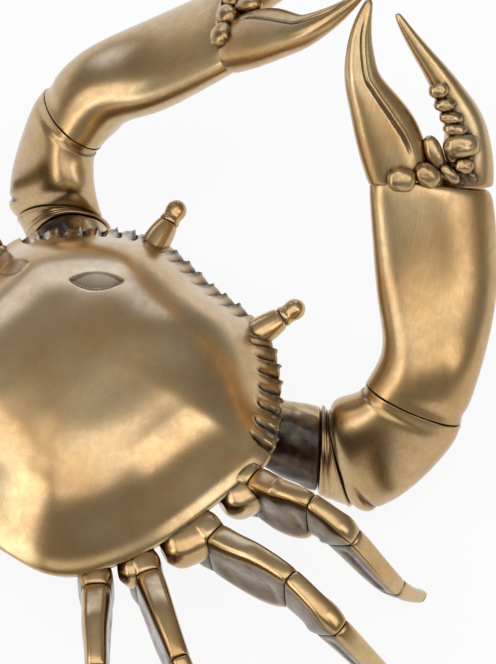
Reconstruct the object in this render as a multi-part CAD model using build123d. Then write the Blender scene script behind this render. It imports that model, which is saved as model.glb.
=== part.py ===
from build123d import *
import os
from math import cos, sin, pi

# A large crab ornament, assembled from separate brass castings. It stands on the tips of its
# eight walking legs and holds both claws up in front of its face. Millimetres. The crab faces
# -Y, its own right side is -X, and the table top is z = 0.

# Body
CARAPACE_WIDTH = 143
CARAPACE_LENGTH = 141
DOME_HEIGHT = 34          # crown of the shell above its rim
RIM_HEIGHT = 50           # rim above the table
RIM_LIP = 5               # depth of the turned-down edge of the shell
BELLY_DEPTH = 27          # belly below the turned-down edge
SHELL_WALL = 4
TOOTH_LENGTH = 11         # notched lobes along the front and side margins
TOOTH_WIDTH = 6

# Eyes
EYE_SPACING = 57          # between the roots of the stalks
STALK_LENGTH = 20.5       # from the root, inside the shell, to the middle of the eye
STALK_WIDTH = 11
EYE_WIDTH = 8.4

# Claws
CLAW_REACH = 91           # from the shoulder forward to the roots of the fingers
CLAW_WIDTH = 49           # across the palm
CLAW_THICKNESS = 28
FINGER_LENGTH = 66
MOLAR_WIDTH = 11          # largest tooth of the fixed finger
CLAW_WALL = 3.5           # the palms and wrists are cast hollow

# Walking legs
LEG_REACH = 106           # sideways, from the root to the toe of the second leg
LEG_DEPTH = 32            # height of the flattened thigh
LEG_THICKNESS = 12

# Joints between castings
SEAM_GAP = 0.2            # open line left between two castings
FIT_CLEARANCE = 0.15      # round a spigot in its socket
SPIGOT_LENGTH = 5

# Outline of the shell's right half: shares of the width and of the length, from the middle of
# the front edge, between the eyes, back to the middle of the rear edge.
OUTLINE_SHARES = (
    (0, 0), (0.22, -0.004), (0.385, -0.12), (0.497, -0.275), (0.498, -0.426),
    (0.465, -0.702), (0.36, -0.925), (0.2, -0.992), (0, -1),
)
CENTRE_SHARE = -0.5
# Contours of the dome: share of the outline, share of the dome's height.
DOME_SHARES = (
    (1, 0), (0.985, 0.06), (0.93, 0.15), (0.87, 0.3), (0.78, 0.52), (0.67, 0.72),
    (0.54, 0.86), (0.4, 0.945), (0.26, 0.985), (0.12, 1),
)
LIP_SHARE = 0.965
# Contours of the belly: share of the outline, share of the belly's depth.
BELLY_SHARES = ((0.945, 0), (0.94, 0.25), (0.86, 0.62), (0.7, 0.9), (0.54, 1))
BELLY_OPENING_SHARE = 0.58
BELLY_FLOOR_SHARE = 0.42
REGISTER_SHARE = 0.8      # height of the tongue that centres the shell, in rim lips

# Height of the limbs' roots: share of the belly's depth below the lip.
ROOT_SHARE = 0.445

# Each limb is a row of stations. A station is its place (right, forward, up), its half width
# and half thickness, the way its flat side faces and, on the claws, the way it looks along
# the limb (both right, forward, up).
# Claw places are shares of CLAW_REACH from the shoulder, widths shares of CLAW_WIDTH and
# thicknesses shares of CLAW_THICKNESS.
SHOULDER_SHARES = (0.294, -0.184)
SHOULDER_DROP_SHARE = 0.48
CLAW_SHARES = (
    (0, 0, 0, 0.245, 0.393, 0.5, -0.5, 0.7, 0.87, 0.4, -0.28),
    (0.165, 0.077, -0.066, 0.3, 0.446, 0.6, -0.6, 0.5, 0.82, 0.53, -0.2),
    (0.324, 0.148, -0.132, 0.357, 0.553, 0.58, -0.6, 0.55, 0.74, 0.67, -0.03),
    (0.422, 0.184, -0.137, 0.4, 0.593, 0.56, -0.58, 0.6, 0.6, 0.76, 0.25),
    (0.511, 0.225, -0.005, 0.49, 0.5, 0.52, -0.55, 0.65, 0.5, 0.66, 0.56),
    (0.591, 0.373, 0.164, 0.443, 0.493, 0.58, -0.49, 0.65, 0.036, 0.696, 0.718),
    (0.588, 0.448, 0.238, 0.425, 0.507, 0.586, -0.479, 0.656, -0.117, 0.711, 0.693),
    (0.542, 0.602, 0.379, 0.408, 0.529, 0.59, -0.46, 0.67, -0.363, 0.714, 0.6),
    (0.368, 0.812, 0.531, 0.498, 0.443, 0.63, -0.39, 0.67, -0.563, 0.559, 0.608),
    (0.117, 1.02, 0.842, 0.52, 0.35, 0.65, -0.35, 0.68, -0.411, 0.644, 0.646),
)
# The castings of a claw: name, first and last station, and whether it is hollow.
CLAW_CASTINGS = (
    ("arm", 0, 2, False), ("wrist_ring", 2, 3, False), ("wrist", 3, 6, True),
    ("palm", 6, 9, True),
)
# Fingers, from the end of the palm: across and along, then half width and half thickness.
# Across and the two halves are shares of CLAW_WIDTH, along is a share of FINGER_LENGTH.
MOVING_FINGER_SHARES = (
    (-0.26, 0, 0.255, 0.173), (-0.367, 0.18, 0.27, 0.17), (-0.488, 0.32, 0.237, 0.155),
    (-0.635, 0.47, 0.167, 0.13), (-0.705, 0.56, 0.14, 0.11), (-0.757, 0.74, 0.1, 0.08),
    (-0.757, 0.88, 0.065, 0.055), (-0.732, 1, 0.03, 0.03),
)
FIXED_FINGER_SHARES = (
    (0.29, 0, 0.229, 0.173), (0.265, 0.15, 0.218, 0.173), (0.229, 0.3, 0.176, 0.16),
    (0.163, 0.4, 0.155, 0.15), (0.051, 0.5, 0.129, 0.13), (-0.069, 0.61, 0.1, 0.1),
    (-0.255, 0.74, 0.07, 0.075), (-0.41, 0.86, 0.045, 0.05), (-0.5, 0.94, 0.025, 0.025),
)
# Teeth of the fixed finger: place along the finger's stations, share of the largest tooth.
FINGER_TOOTH_SHARES = (
    (0.105, 0.65), (0.208, 1), (0.294, 0.66), (0.371, 0.7), (0.456, 0.66), (0.545, 0.62),
)
TOOTH_PLACE_SHARES = (0.75, 0.35)     # towards the other finger, and out of the face
# Knuckle bosses beside the finger roots: across the palm, and half width, of each.
BOSS_SHARES = ((-0.29, 0.07), (-0.085, 0.06), (0.14, 0.05))
BOSS_SETBACK_SHARE = 1.3  # of its half depth, from the end of the palm
BOSS_LIFT_SHARE = 0.45

# Legs: root on the shell (shares of its width and length), then the stations. Places are
# shares of LEG_REACH from the root, heights are shares of the root's height.
LEG_ROOT_SHARES = (
    (0.406, -0.355), (0.399, -0.539), (0.371, -0.702), (0.301, -0.78),
)
LEG_PLACE_SHARES = (
    ((0, 0, 1.09), (0.179, 0.03, 1.275), (0.292, 0.042, 1.35), (0.406, 0.075, 1.5),
     (0.539, 0.094, 1.4), (0.703, 0.16, 0.485), (0.759, 0.254, -0.06)),
    ((0, 0, 1.05), (0.235, -0.012, 1.2), (0.42, 0.013, 1.27), (0.58, 0.028, 1.42),
     (0.776, 0.024, 1.33), (0.934, 0.1, 0.485), (1, 0.15, -0.06)),
    ((0, 0, 1), (0.189, -0.085, 1.14), (0.349, -0.17, 1.21), (0.5, -0.245, 1.31),
     (0.623, -0.302, 1.185), (0.755, -0.368, 0.455), (0.811, -0.396, -0.06)),
    ((0, 0, 1), (0.179, -0.151, 1.13), (0.292, -0.264, 1.18), (0.406, -0.368, 1.28),
     (0.481, -0.453, 1.155), (0.557, -0.557, 0.455), (0.594, -0.613, -0.06)),
)
# Half height and half thickness at each station, as shares of LEG_DEPTH and LEG_THICKNESS.
LEG_SECTION_SHARES = (
    (0.4, 0.5), (0.42, 0.5), (0.5, 0.45), (0.38, 0.37), (0.29, 0.38), (0.2, 0.32),
    (0.075, 0.2),
)
LEG_CASTINGS = (("hip", 0, 1), ("thigh", 1, 3), ("knee", 3, 4), ("shin", 4, 5), ("toe", 5, 6))
LEG_NAMES = ("leg_1", "leg_2", "leg_3", "leg_4")

# Eyes: the way they point (right, forward, up), the root, and the stalk's taper.
EYE_WAY = (0.23, 0.955, 0.17)
EYE_ROOT_SHARE = -0.34
EYE_LIFT_SHARE = 0.03
STALK_SHARES = ((0, 1.1), (0.4, 1), (0.68, 0.8))
NECK_SHARE = 0.72

# Rim lobes: how many, where the side rows start and end on the outline, and their spread.
FRONT_LOBES = 6
SIDE_LOBES = 7
SIDE_LOBE_SHARES = ((0.25, -0.025), (0.487, -0.242))
SIDE_LOBE_SWELL_SHARE = 0.022
SIDE_LOBE_SPREAD = 1.25
LOBE_DROP_SHARE = 0.05
LOBE_SLOPE_SHARE = 0.35
LOBE_PROUD_SHARE = 0.12

SECTION_POINTS = 12
ROUND_SQUARENESS = 2.3    # of the claws' and stalks' sections; 2 is an oval
LEG_SQUARENESS = 4        # the legs are flat on top and on their sides
SEAM_ROUNDING_SHARE = 0.93
# The space in a hollow casting: where it starts, its length, and how far its ends close in.
CAVITY_START_SHARE = 0.2
CAVITY_SPAN_SHARE = 0.6
CAVITY_END_SHARE = 0.8
CLAW_SPIGOT_SHARE = 0.45
LEG_SPIGOT_SHARE = 0.55
LOBE_GROWTH_SHARES = (0.85, 0.55)     # of a lobe's width: the first, and what the last adds
EYE_CLEAR_SHARE = 1.3     # of a stalk's width, kept free of lobes
FINGER_FORWARD_SHARE = 0.45           # of the finger's length, past the end of the palm


def body_place(right, forward, up):
    """A place from distances to the crab's right and forward of the line of the eyes."""
    return Vector(-right, EYE_LINE_Y - forward, up)


def section(centre, along, across, half_width, half_thickness, squareness):
    """A closed, squared oval, square to the limb."""
    plane = Plane(origin=centre, x_dir=across, z_dir=along)
    points = []
    for step in range(SECTION_POINTS):
        angle = 2 * pi * step / SECTION_POINTS
        x_share = abs(cos(angle)) ** (2 / squareness)
        y_share = abs(sin(angle)) ** (2 / squareness)
        x = half_width * x_share * (1 if cos(angle) >= 0 else -1)
        y = half_thickness * y_share * (1 if sin(angle) >= 0 else -1)
        points.append(plane.from_local_coords(Vector(x, y, 0)))
    return Wire([Edge.make_spline(points, periodic=True)])


def station(rows, place):
    """The limb's values at a place between its stations, on a smooth curve through them."""
    last = len(rows) - 1
    low = min(int(place), last - 1)
    t = place - low
    before = rows[max(low - 1, 0)]
    start = rows[low]
    end = rows[low + 1]
    after = rows[min(low + 2, last)]
    values = []
    slopes = []
    for a, b, c, d in zip(before, start, end, after):
        m1 = (c - a) / (2 if low > 0 else 1)
        m2 = (d - b) / (2 if low + 2 <= last else 1)
        h1 = 2 * t**3 - 3 * t**2 + 1
        h2 = t**3 - 2 * t**2 + t
        h3 = 3 * t**2 - 2 * t**3
        h4 = t**3 - t**2
        values.append(h1 * b + h2 * m1 + h3 * c + h4 * m2)
        slope = (6 * t**2 - 6 * t) * (b - c) + (3 * t**2 - 4 * t + 1) * m1
        slopes.append(slope + (3 * t**2 - 2 * t) * m2)
    centre = Vector(*values[0:3])
    along = Vector(*values[8:11]) if len(values) > 8 else Vector(*slopes[0:3])
    along = along.normalized()
    facing = Vector(*values[5:8])
    across = along.cross(facing).normalized()
    return centre, along, across, values[3], values[4]


def peg(centre, along, radius, length, back):
    """A round peg along a limb, from inside one casting into the next."""
    plane = Plane(origin=centre - along * back, z_dir=along)
    return plane * Cylinder(radius, length + back, align=(Align.CENTER, Align.CENTER, Align.MIN))


def casting(rows, first, last, grow=0.0, shrink_ends=True, squareness=ROUND_SQUARENESS):
    """The solid of one casting, between two stations, drawn in slightly at its seams."""
    count = 4 + 2 * (last - first)
    wires = []
    for step in range(count + 1):
        share = step / count
        place = first + (last - first) * share
        centre, along, across, half_width, half_thickness = station(rows, place)
        rounding = 1
        if step == 0 or step == count:
            if shrink_ends:
                rounding = SEAM_ROUNDING_SHARE
            else:
                centre = centre + along * (-grow if step == 0 else grow)
        wires.append(section(centre, along, across, half_width * rounding + grow,
                             half_thickness * rounding + grow, squareness))
    solid = Solid.make_loft(wires)
    if shrink_ends:
        for place, way in ((first, -1), (last, 1)):
            centre, along, across, half_width, half_thickness = station(rows, place)
            along = along * way
            cap = peg(centre - along * (SEAM_GAP / 2), along, 2 * half_width, half_width, 0)
            solid = solid - cap
    return solid


def hollow(rows, first, last, wall):
    """The closed space inside a hollow casting."""
    wires = []
    count = 4
    for step in range(count + 1):
        place = first + (last - first) * (CAVITY_START_SHARE + CAVITY_SPAN_SHARE * step / count)
        centre, along, across, half_width, half_thickness = station(rows, place)
        rounding = CAVITY_END_SHARE if step in (0, count) else 1
        wires.append(section(centre, along, across, (half_width - wall) * rounding,
                             (half_thickness - wall) * rounding, ROUND_SQUARENESS))
    return Solid.make_loft(wires)


def outline(share, height, inset=0.0):
    """The shell's outline, drawn to a share of its size, at a height."""
    half_width = CARAPACE_WIDTH / 2
    ratio = share - inset / half_width
    middle = CENTRE_SHARE * CARAPACE_LENGTH
    right = []
    for r_share, f_share in OUTLINE_SHARES:
        r = r_share * CARAPACE_WIDTH * ratio
        f = middle + (f_share * CARAPACE_LENGTH - middle) * ratio
        right.append((r, f))
    left = [(-r, f) for r, f in right[-2:0:-1]]
    points = [body_place(r, f, height) for r, f in right + left]
    return Wire([Edge.make_spline(points, periodic=True)])


def write(name, shape):
    shape = shape.solid() if not isinstance(shape, Solid) else shape
    shape.label = name
    export_step(shape, "parts/" + name + ".step")
    print(name, round(shape.volume))
    return shape


LIP_Z = RIM_HEIGHT - RIM_LIP
ROOT_Z = LIP_Z - ROOT_SHARE * BELLY_DEPTH
SHOULDER_Z = LIP_Z - SHOULDER_DROP_SHARE * BELLY_DEPTH

# The crab is centred front to back on its own length, between the claw tips and the last toes.
FRONT_REACH = SHOULDER_SHARES[1] * CARAPACE_LENGTH + CLAW_REACH
FRONT_REACH = FRONT_REACH + FINGER_LENGTH * FINGER_FORWARD_SHARE
REAR_REACH = LEG_ROOT_SHARES[3][1] * CARAPACE_LENGTH + LEG_PLACE_SHARES[3][6][1] * LEG_REACH
EYE_LINE_Y = (FRONT_REACH + REAR_REACH) / 2

os.makedirs("parts", exist_ok=True)


def claw_rows():
    rows = []
    for r, f, up, width, thick, *ways in CLAW_SHARES:
        face_r, face_f, face_up, along_r, along_f, along_up = ways
        place = body_place(SHOULDER_SHARES[0] * CARAPACE_WIDTH + r * CLAW_REACH,
                           SHOULDER_SHARES[1] * CARAPACE_LENGTH + f * CLAW_REACH,
                           SHOULDER_Z + up * CLAW_REACH)
        rows.append((place.X, place.Y, place.Z, width * CLAW_WIDTH, thick * CLAW_THICKNESS,
                     -face_r, -face_f, face_up, -along_r, -along_f, along_up))
    return rows


def leg_rows(leg):
    root_r, root_f = LEG_ROOT_SHARES[leg]
    shares = LEG_PLACE_SHARES[leg]
    out_r = shares[3][0]
    out_f = shares[3][1]
    rows = []
    for (r, f, up), (deep, thick) in zip(shares, LEG_SECTION_SHARES):
        place = body_place(root_r * CARAPACE_WIDTH + r * LEG_REACH,
                           root_f * CARAPACE_LENGTH + f * LEG_REACH, up * ROOT_Z)
        rows.append((place.X, place.Y, place.Z, deep * LEG_DEPTH, thick * LEG_THICKNESS,
                     out_f, -out_r, 0))
    return rows


# Limbs, and the pockets that their roots need in the belly.
pockets = []
limbs = {}


def build_limb(prefix, rows, castings, spigot_share, squareness):
    """Every casting of a limb, each one plugged into the casting before it."""
    solids = {}
    socket = None
    for name, first, last, is_hollow in castings:
        solid = casting(rows, first, last, squareness=squareness)
        if is_hollow:
            solid = solid - hollow(rows, first, last, CLAW_WALL)
        seat = socket
        if last < len(rows) - 1:
            centre, along, across, half_width, half_thickness = station(rows, last)
            radius = min(half_thickness, half_width) * spigot_share
            length = min(SPIGOT_LENGTH, 1.5 * radius)
            solid = solid + peg(centre, along, radius, length, length / 2)
            socket = peg(centre, along, radius + FIT_CLEARANCE, length + FIT_CLEARANCE,
                         length / 2)
        if seat is not None:
            solid = solid - seat
        solids[prefix + "_" + name] = solid
    return solids


claw = claw_rows()
limbs.update(build_limb("claw", claw, CLAW_CASTINGS, CLAW_SPIGOT_SHARE, ROUND_SQUARENESS))
pockets.append(casting(claw, 0, 2, grow=FIT_CLEARANCE, shrink_ends=False))

# Fingers, in the frame of the palm's end.
end, along, across, half_width, half_thickness = station(claw, len(claw) - 1)
facing = across.cross(along)
palm = limbs["claw_palm"]
for name, table in (("claw_moving_finger", MOVING_FINGER_SHARES),
                    ("claw_fixed_finger", FIXED_FINGER_SHARES)):
    rows = []
    for s, a, width, thick in table:
        centre = end + across * (s * CLAW_WIDTH) + along * (a * FINGER_LENGTH)
        rows.append((centre.X, centre.Y, centre.Z, width * CLAW_WIDTH, thick * CLAW_WIDTH,
                     facing.X, facing.Y, facing.Z))
    finger = casting(rows, 0, len(rows) - 1)
    root, root_along, root_across, root_width, root_thickness = station(rows, 0)
    radius = root_thickness * CLAW_SPIGOT_SHARE
    palm = palm + peg(root, along, radius, SPIGOT_LENGTH, SPIGOT_LENGTH / 2)
    socket_depth = SPIGOT_LENGTH + FIT_CLEARANCE
    finger = finger - peg(root, along, radius + FIT_CLEARANCE, socket_depth, SPIGOT_LENGTH / 2)
    finger = finger - peg(end - along * SEAM_GAP / 2, -along, CLAW_WIDTH, SPIGOT_LENGTH, 0)
    if name == "claw_fixed_finger":
        for a, size in FINGER_TOOTH_SHARES:
            place = a * (len(rows) - 1)
            centre, t_along, t_across, t_width, t_thickness = station(rows, place)
            inner = centre - across * t_width * TOOTH_PLACE_SHARES[0]
            inner = inner + facing * t_thickness * TOOTH_PLACE_SHARES[1]
            finger = finger + Pos(*inner) * Sphere(MOLAR_WIDTH / 2 * size)
    limbs[name] = finger
for s, width in BOSS_SHARES:
    centre = end + across * (s * CLAW_WIDTH) - along * (width * CLAW_WIDTH * BOSS_SETBACK_SHARE)
    boss = Plane(origin=centre + facing * half_thickness * BOSS_LIFT_SHARE, x_dir=across, z_dir=facing)
    palm = palm + boss * Cylinder(width * CLAW_WIDTH, half_thickness)
limbs["claw_palm"] = palm

for leg, leg_name in enumerate(LEG_NAMES):
    rows = leg_rows(leg)
    castings = [row + (False,) for row in LEG_CASTINGS]
    solids = build_limb(leg_name, rows, castings, LEG_SPIGOT_SHARE, LEG_SQUARENESS)
    toe_name = leg_name + "_toe"
    table_top = Box(4 * LEG_REACH, 4 * LEG_REACH, RIM_HEIGHT,
                    align=(Align.CENTER, Align.CENTER, Align.MAX))
    solids[toe_name] = solids[toe_name] - table_top
    limbs.update(solids)
    pocket = casting(rows, 0, 1, FIT_CLEARANCE, False, LEG_SQUARENESS)
    pockets.append(pocket)

# Eye: a tapered stalk plugged into the rim, and a ball-ended peg plugged into the stalk.
root = body_place(EYE_SPACING / 2, EYE_ROOT_SHARE * STALK_LENGTH,
                  RIM_HEIGHT + EYE_LIFT_SHARE * STALK_LENGTH)
along = Vector(-EYE_WAY[0], -EYE_WAY[1], EYE_WAY[2]).normalized()
rows = []
for reach, width in STALK_SHARES:
    centre = root + along * (reach * STALK_LENGTH)
    half = width * STALK_WIDTH / 2
    rows.append((centre.X, centre.Y, centre.Z, half, half, 0, 0, 1))
seam = root + along * (STALK_SHARES[2][0] * STALK_LENGTH)
radius = NECK_SHARE * EYE_WIDTH / 2
stalk = casting(rows, 0, 2)
limbs["eye_stalk"] = stalk - peg(seam, along, radius + FIT_CLEARANCE, EYE_WIDTH, EYE_WIDTH / 2)
eye = peg(seam, along, radius, (1 - STALK_SHARES[2][0]) * STALK_LENGTH, EYE_WIDTH / 3)
limbs["eye"] = eye + Pos(*(root + along * STALK_LENGTH)) * Sphere(EYE_WIDTH / 2)
pockets.append(casting(rows, 0, 2, grow=FIT_CLEARANCE, shrink_ends=False))

# The left side is the right side's mirror image.
pockets = pockets + [pocket.mirror(Plane.YZ) for pocket in pockets]
for name, solid in limbs.items():
    write(name + "_right", solid)
    write(name + "_left", solid.mirror(Plane.YZ))

# Shell: a dome through stacked contours, hollow below, with lobes along its front and sides.
contours = [outline(LIP_SHARE, LIP_Z)]
for share, height in DOME_SHARES:
    contours.append(outline(share, RIM_HEIGHT + height * DOME_HEIGHT))
shell = Solid.make_loft(contours)


def rim_lobe(right, forward, out_r, out_f, width):
    """One lobe of the rim: a round-ended bar that slopes down and outward."""
    way = Vector(-out_r, -out_f, 0).normalized()
    way = (way - Vector(0, 0, LOBE_SLOPE_SHARE)).normalized()
    end = body_place(right, forward, RIM_HEIGHT - LOBE_DROP_SHARE * TOOTH_WIDTH)
    end = end - way * (width / 2 - LOBE_PROUD_SHARE * TOOTH_LENGTH)
    bar = peg(end, way, width / 2, 0, TOOTH_LENGTH - width)
    inner = end - way * (TOOTH_LENGTH - width)
    return bar + Pos(*end) * Sphere(width / 2) + Pos(*inner) * Sphere(width / 2)


lobes = []
front_pitch = (EYE_SPACING - EYE_CLEAR_SHARE * STALK_WIDTH) / FRONT_LOBES
for number in range(FRONT_LOBES):
    right = (number - (FRONT_LOBES - 1) / 2) * front_pitch
    lobes.append(rim_lobe(right, 0, 0, 1, TOOTH_WIDTH))
for side in (1, -1):
    for number in range(SIDE_LOBES):
        share = ((number + 1 / 2) / SIDE_LOBES) ** SIDE_LOBE_SPREAD
        (r0, f0), (r1, f1) = SIDE_LOBE_SHARES
        swell = SIDE_LOBE_SWELL_SHARE * sin(pi * share)
        out_r = (f0 - f1) * CARAPACE_LENGTH
        out_f = (r1 - r0) * CARAPACE_WIDTH
        right = (r0 + (r1 - r0) * share + swell) * CARAPACE_WIDTH
        forward = (f0 + (f1 - f0) * share + swell) * CARAPACE_LENGTH
        width = TOOTH_WIDTH * (LOBE_GROWTH_SHARES[0] + LOBE_GROWTH_SHARES[1] * share)
        lobes.append(rim_lobe(side * right, forward, side * out_r, out_f, width))
hollows = [outline(LIP_SHARE, LIP_Z - SHELL_WALL, SHELL_WALL)]
for share, height in DOME_SHARES[:-1]:
    drop = SHELL_WALL * (1 - (1 - height) ** 3)
    hollows.append(outline(share, RIM_HEIGHT + height * DOME_HEIGHT - drop, SHELL_WALL))
shell = shell + lobes
shell = shell - Solid.make_loft(hollows, ruled=True)
for pocket in pockets:
    shell = shell - pocket
write("carapace", shell)

# Belly: a bowl with a tongue that centres the shell and pockets for the limbs.
seat_z = LIP_Z - SEAM_GAP
belly_contours = []
for share, depth in BELLY_SHARES:
    belly_contours.append(outline(share, seat_z - depth * BELLY_DEPTH))
belly = Solid.make_loft(belly_contours)
tongue_face = Face(outline(LIP_SHARE, seat_z, SHELL_WALL + FIT_CLEARANCE))
tongue_up = REGISTER_SHARE * RIM_LIP
belly = belly + extrude(tongue_face, amount=tongue_up, dir=(0, 0, 1))
opening = []
for share, height in ((BELLY_OPENING_SHARE, seat_z + 2 * tongue_up),
                      (BELLY_OPENING_SHARE, seat_z - BELLY_DEPTH / 2),
                      (BELLY_FLOOR_SHARE, seat_z - BELLY_DEPTH + SHELL_WALL)):
    opening.append(outline(share, height))
belly = belly - Solid.make_loft(opening, ruled=True)
for pocket in pockets:
    belly = belly - pocket
write("belly_shell", belly)
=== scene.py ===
import bpy
import bmesh
import math
import numpy as np
from mathutils import Matrix, Vector, noise
from mathutils.bvhtree import BVHTree


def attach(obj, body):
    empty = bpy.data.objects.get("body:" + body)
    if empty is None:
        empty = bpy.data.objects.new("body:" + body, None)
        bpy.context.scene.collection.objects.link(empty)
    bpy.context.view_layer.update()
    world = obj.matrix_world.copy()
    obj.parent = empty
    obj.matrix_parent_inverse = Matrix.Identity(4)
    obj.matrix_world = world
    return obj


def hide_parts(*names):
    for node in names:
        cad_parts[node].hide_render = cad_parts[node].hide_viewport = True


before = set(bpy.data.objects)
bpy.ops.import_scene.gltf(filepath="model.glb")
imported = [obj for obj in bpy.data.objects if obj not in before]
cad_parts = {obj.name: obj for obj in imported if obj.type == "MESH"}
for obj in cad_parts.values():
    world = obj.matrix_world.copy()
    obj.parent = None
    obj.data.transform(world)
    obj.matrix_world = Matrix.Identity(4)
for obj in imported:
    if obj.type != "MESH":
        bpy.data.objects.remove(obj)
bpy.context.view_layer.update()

# A cast brass crab that stands on its toes. Lengths are in mm unless a note says otherwise.
mm = 0.001
eyeLineY = -40.1       # the line between the eyes, from the middle of the crab
rimZ = 50.0            # shell rim above the table
seamGap = 0.1          # half the open line between two castings


def place(right, forward, up):
    # distances to the crab's own right, forward of its eyes and above the table
    return Vector((-right, eyeLineY - forward, up))


# Brass
def linearColour(code):
    parts = [int(code[i:i + 2], 16) / 255 for i in (1, 3, 5)]
    parts = [c / 12.92 if c <= 0.04045 else ((c + 0.055) / 1.055) ** 2.4 for c in parts]
    return (*parts, 1)


def addNode(tree, kind, links=None, out=0, **settings):
    # links holds sockets to join and constants to set, by input; the answer is one of its outputs
    made = tree.nodes.new("ShaderNode" + kind)
    for key, value in settings.items():
        setattr(made, key, value)
    for key, value in (links or {}).items():
        if isinstance(value, bpy.types.NodeSocket):
            tree.links.new(value, made.inputs[key])
        else:
            made.inputs[key].default_value = value
    return made.outputs[out] if made.outputs else None


def perMetre(size):
    # a pattern's scale, from the size in mm that it repeats at
    return 1 / (size * mm)


def makeBrass(name, look):
    brass = bpy.data.materials.new(name)
    brass.use_nodes = True
    tree = brass.node_tree
    tree.nodes.clear()
    spot = addNode(tree, "TexCoord", out="Object")
    patina = addNode(tree, "Attribute", out="Fac", attribute_name="patina")
    # broad drifts of tone, and the mottle of old lacquer
    broad = addNode(tree, "TexNoise", {"Vector": spot, "Scale": perMetre(look["driftSize"]), "Detail": 3.0})
    mottle = addNode(tree, "TexNoise", {
        "Vector": spot, "Scale": perMetre(look["mottleSize"]), "Detail": 5.0, "Roughness": 0.62,
        "Distortion": 0.5})

    # emery lines, drawn coarser than real ones so that they show; the two claws' lines mirror
    brushSpot = spot
    if look["paired"]:
        apart = addNode(tree, "SeparateXYZ", {"Vector": spot}).node.outputs
        away = addNode(tree, "Math", {0: apart["X"]}, operation="ABSOLUTE")
        brushSpot = addNode(tree, "CombineXYZ", {"X": away, "Y": apart["Y"], "Z": apart["Z"]})
    turned = addNode(tree, "Mapping", {"Vector": brushSpot, "Rotation": look["brushTurn"]})
    drawn = addNode(tree, "Mapping", {
        "Vector": turned, "Scale": (1.0, 1.0, look["brushSpacing"] / look["brushLength"])})
    lines = addNode(tree, "TexNoise", {
        "Vector": drawn, "Scale": perMetre(look["brushSpacing"]), "Detail": 4.0, "Roughness": 0.65})

    # the sand's grain, left in the cast skin
    grain = addNode(tree, "TexNoise", {
        "Vector": spot, "Scale": perMetre(look["grainSize"]), "Detail": 5.0, "Roughness": 0.65})

    # gas pits, only where the broad drift is high
    cells = addNode(tree, "TexVoronoi", {"Vector": spot, "Scale": perMetre(look["pitSpacing"])})
    pitSpot = addNode(tree, "MapRange", {
        "Value": cells, "From Min": look["pitEdge"][0], "From Max": look["pitEdge"][1], "To Min": 1.0,
        "To Max": 0.0})
    pitZone = addNode(tree, "MapRange", {
        "Value": broad, "From Min": look["pitZone"][0], "From Max": look["pitZone"][1]})
    pitShare = addNode(tree, "Math", {0: pitZone, 1: look["pits"]}, operation="MULTIPLY")
    pit = addNode(tree, "Math", {0: pitSpot, 1: pitShare}, operation="MULTIPLY")

    # clean metal: warm to pale in drifts, browned in blotches, streaked by the brush
    drift = addNode(tree, "MapRange", {
        "Value": broad, "From Min": look["driftZone"][0], "From Max": look["driftZone"][1]})
    tone = addNode(tree, "Mix", {
        0: drift, 6: linearColour(look["warm"]), 7: linearColour(look["pale"])}, out=2, data_type="RGBA")
    blotch = addNode(tree, "MapRange", {
        "Value": mottle, "From Min": look["mottleZone"][0], "From Max": look["mottleZone"][1],
        "To Max": look["mottle"]})
    aged = addNode(tree, "Mix", {
        0: blotch, 6: tone, 7: linearColour(look["brown"])}, out=2, data_type="RGBA")
    streak = addNode(tree, "MapRange", {
        "Value": lines, "From Min": look["brushZone"][0], "From Max": look["brushZone"][1],
        "To Min": 1 - look["streak"]})
    brushed = addNode(tree, "Mix", {
        0: 1.0, 6: aged, 7: streak}, out=2, data_type="RGBA", blend_type="MULTIPLY")

    # a film of wax in the hollows, then soot, its edge broken by the mottle; the same film and soot paint
    # shade where the carving asks for it
    waxFilmAndShade = addNode(tree, "MapRange", {
        "Value": patina, "From Min": look["waxAndShadeZone"][0], "From Max": look["waxAndShadeZone"][1],
        "To Max": look["waxAndShadeMost"]})
    waxedAndShaded = addNode(tree, "Mix", {
        0: waxFilmAndShade, 6: brushed, 7: linearColour(look["waxAndShade"])}, out=2, data_type="RGBA")
    broken = addNode(tree, "Math", {0: patina, 1: mottle}, operation="ADD")
    sootAndShade = addNode(tree, "MapRange", {
        "Value": broken, "From Min": look["sootAndShadeZone"][0], "From Max": look["sootAndShadeZone"][1]})
    dirtAndShade = addNode(tree, "Math", {0: sootAndShade, 1: pit}, operation="MAXIMUM")
    colour = addNode(tree, "Mix", {
        0: dirtAndShade, 6: waxedAndShaded, 7: linearColour(look["dark"])}, out=2, data_type="RGBA")

    # rougher where dirty and where shade is painted, and a low relief of lines, grain and pits
    satin = addNode(tree, "MapRange", {
        "Value": mottle, "From Min": look["satinZone"][0], "From Max": look["satinZone"][1],
        "To Min": look["rough"][0], "To Max": look["rough"][1]})
    rough = addNode(tree, "Math", {0: dirtAndShade, 1: look["dirtRough"], 2: satin}, operation="MULTIPLY_ADD")
    brushHeight = addNode(tree, "Math", {0: lines, 1: look["brushDepth"]}, operation="MULTIPLY")
    castHeight = addNode(tree, "Math", {
        0: grain, 1: look["grainDepth"], 2: brushHeight}, operation="MULTIPLY_ADD")
    height = addNode(tree, "Math", {0: pit, 1: -look["pitDepth"], 2: castHeight}, operation="MULTIPLY_ADD")
    bump = addNode(tree, "Bump", {"Height": height, "Distance": look["relief"] * mm})
    metal = addNode(tree, "BsdfPrincipled", {
        "Base Color": colour, "Metallic": 1.0, "Roughness": rough, "Normal": bump,
        "Coat Weight": look["coat"], "Coat Roughness": look["coatRough"]})
    addNode(tree, "OutputMaterial", {"Surface": metal})
    return brass


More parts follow.
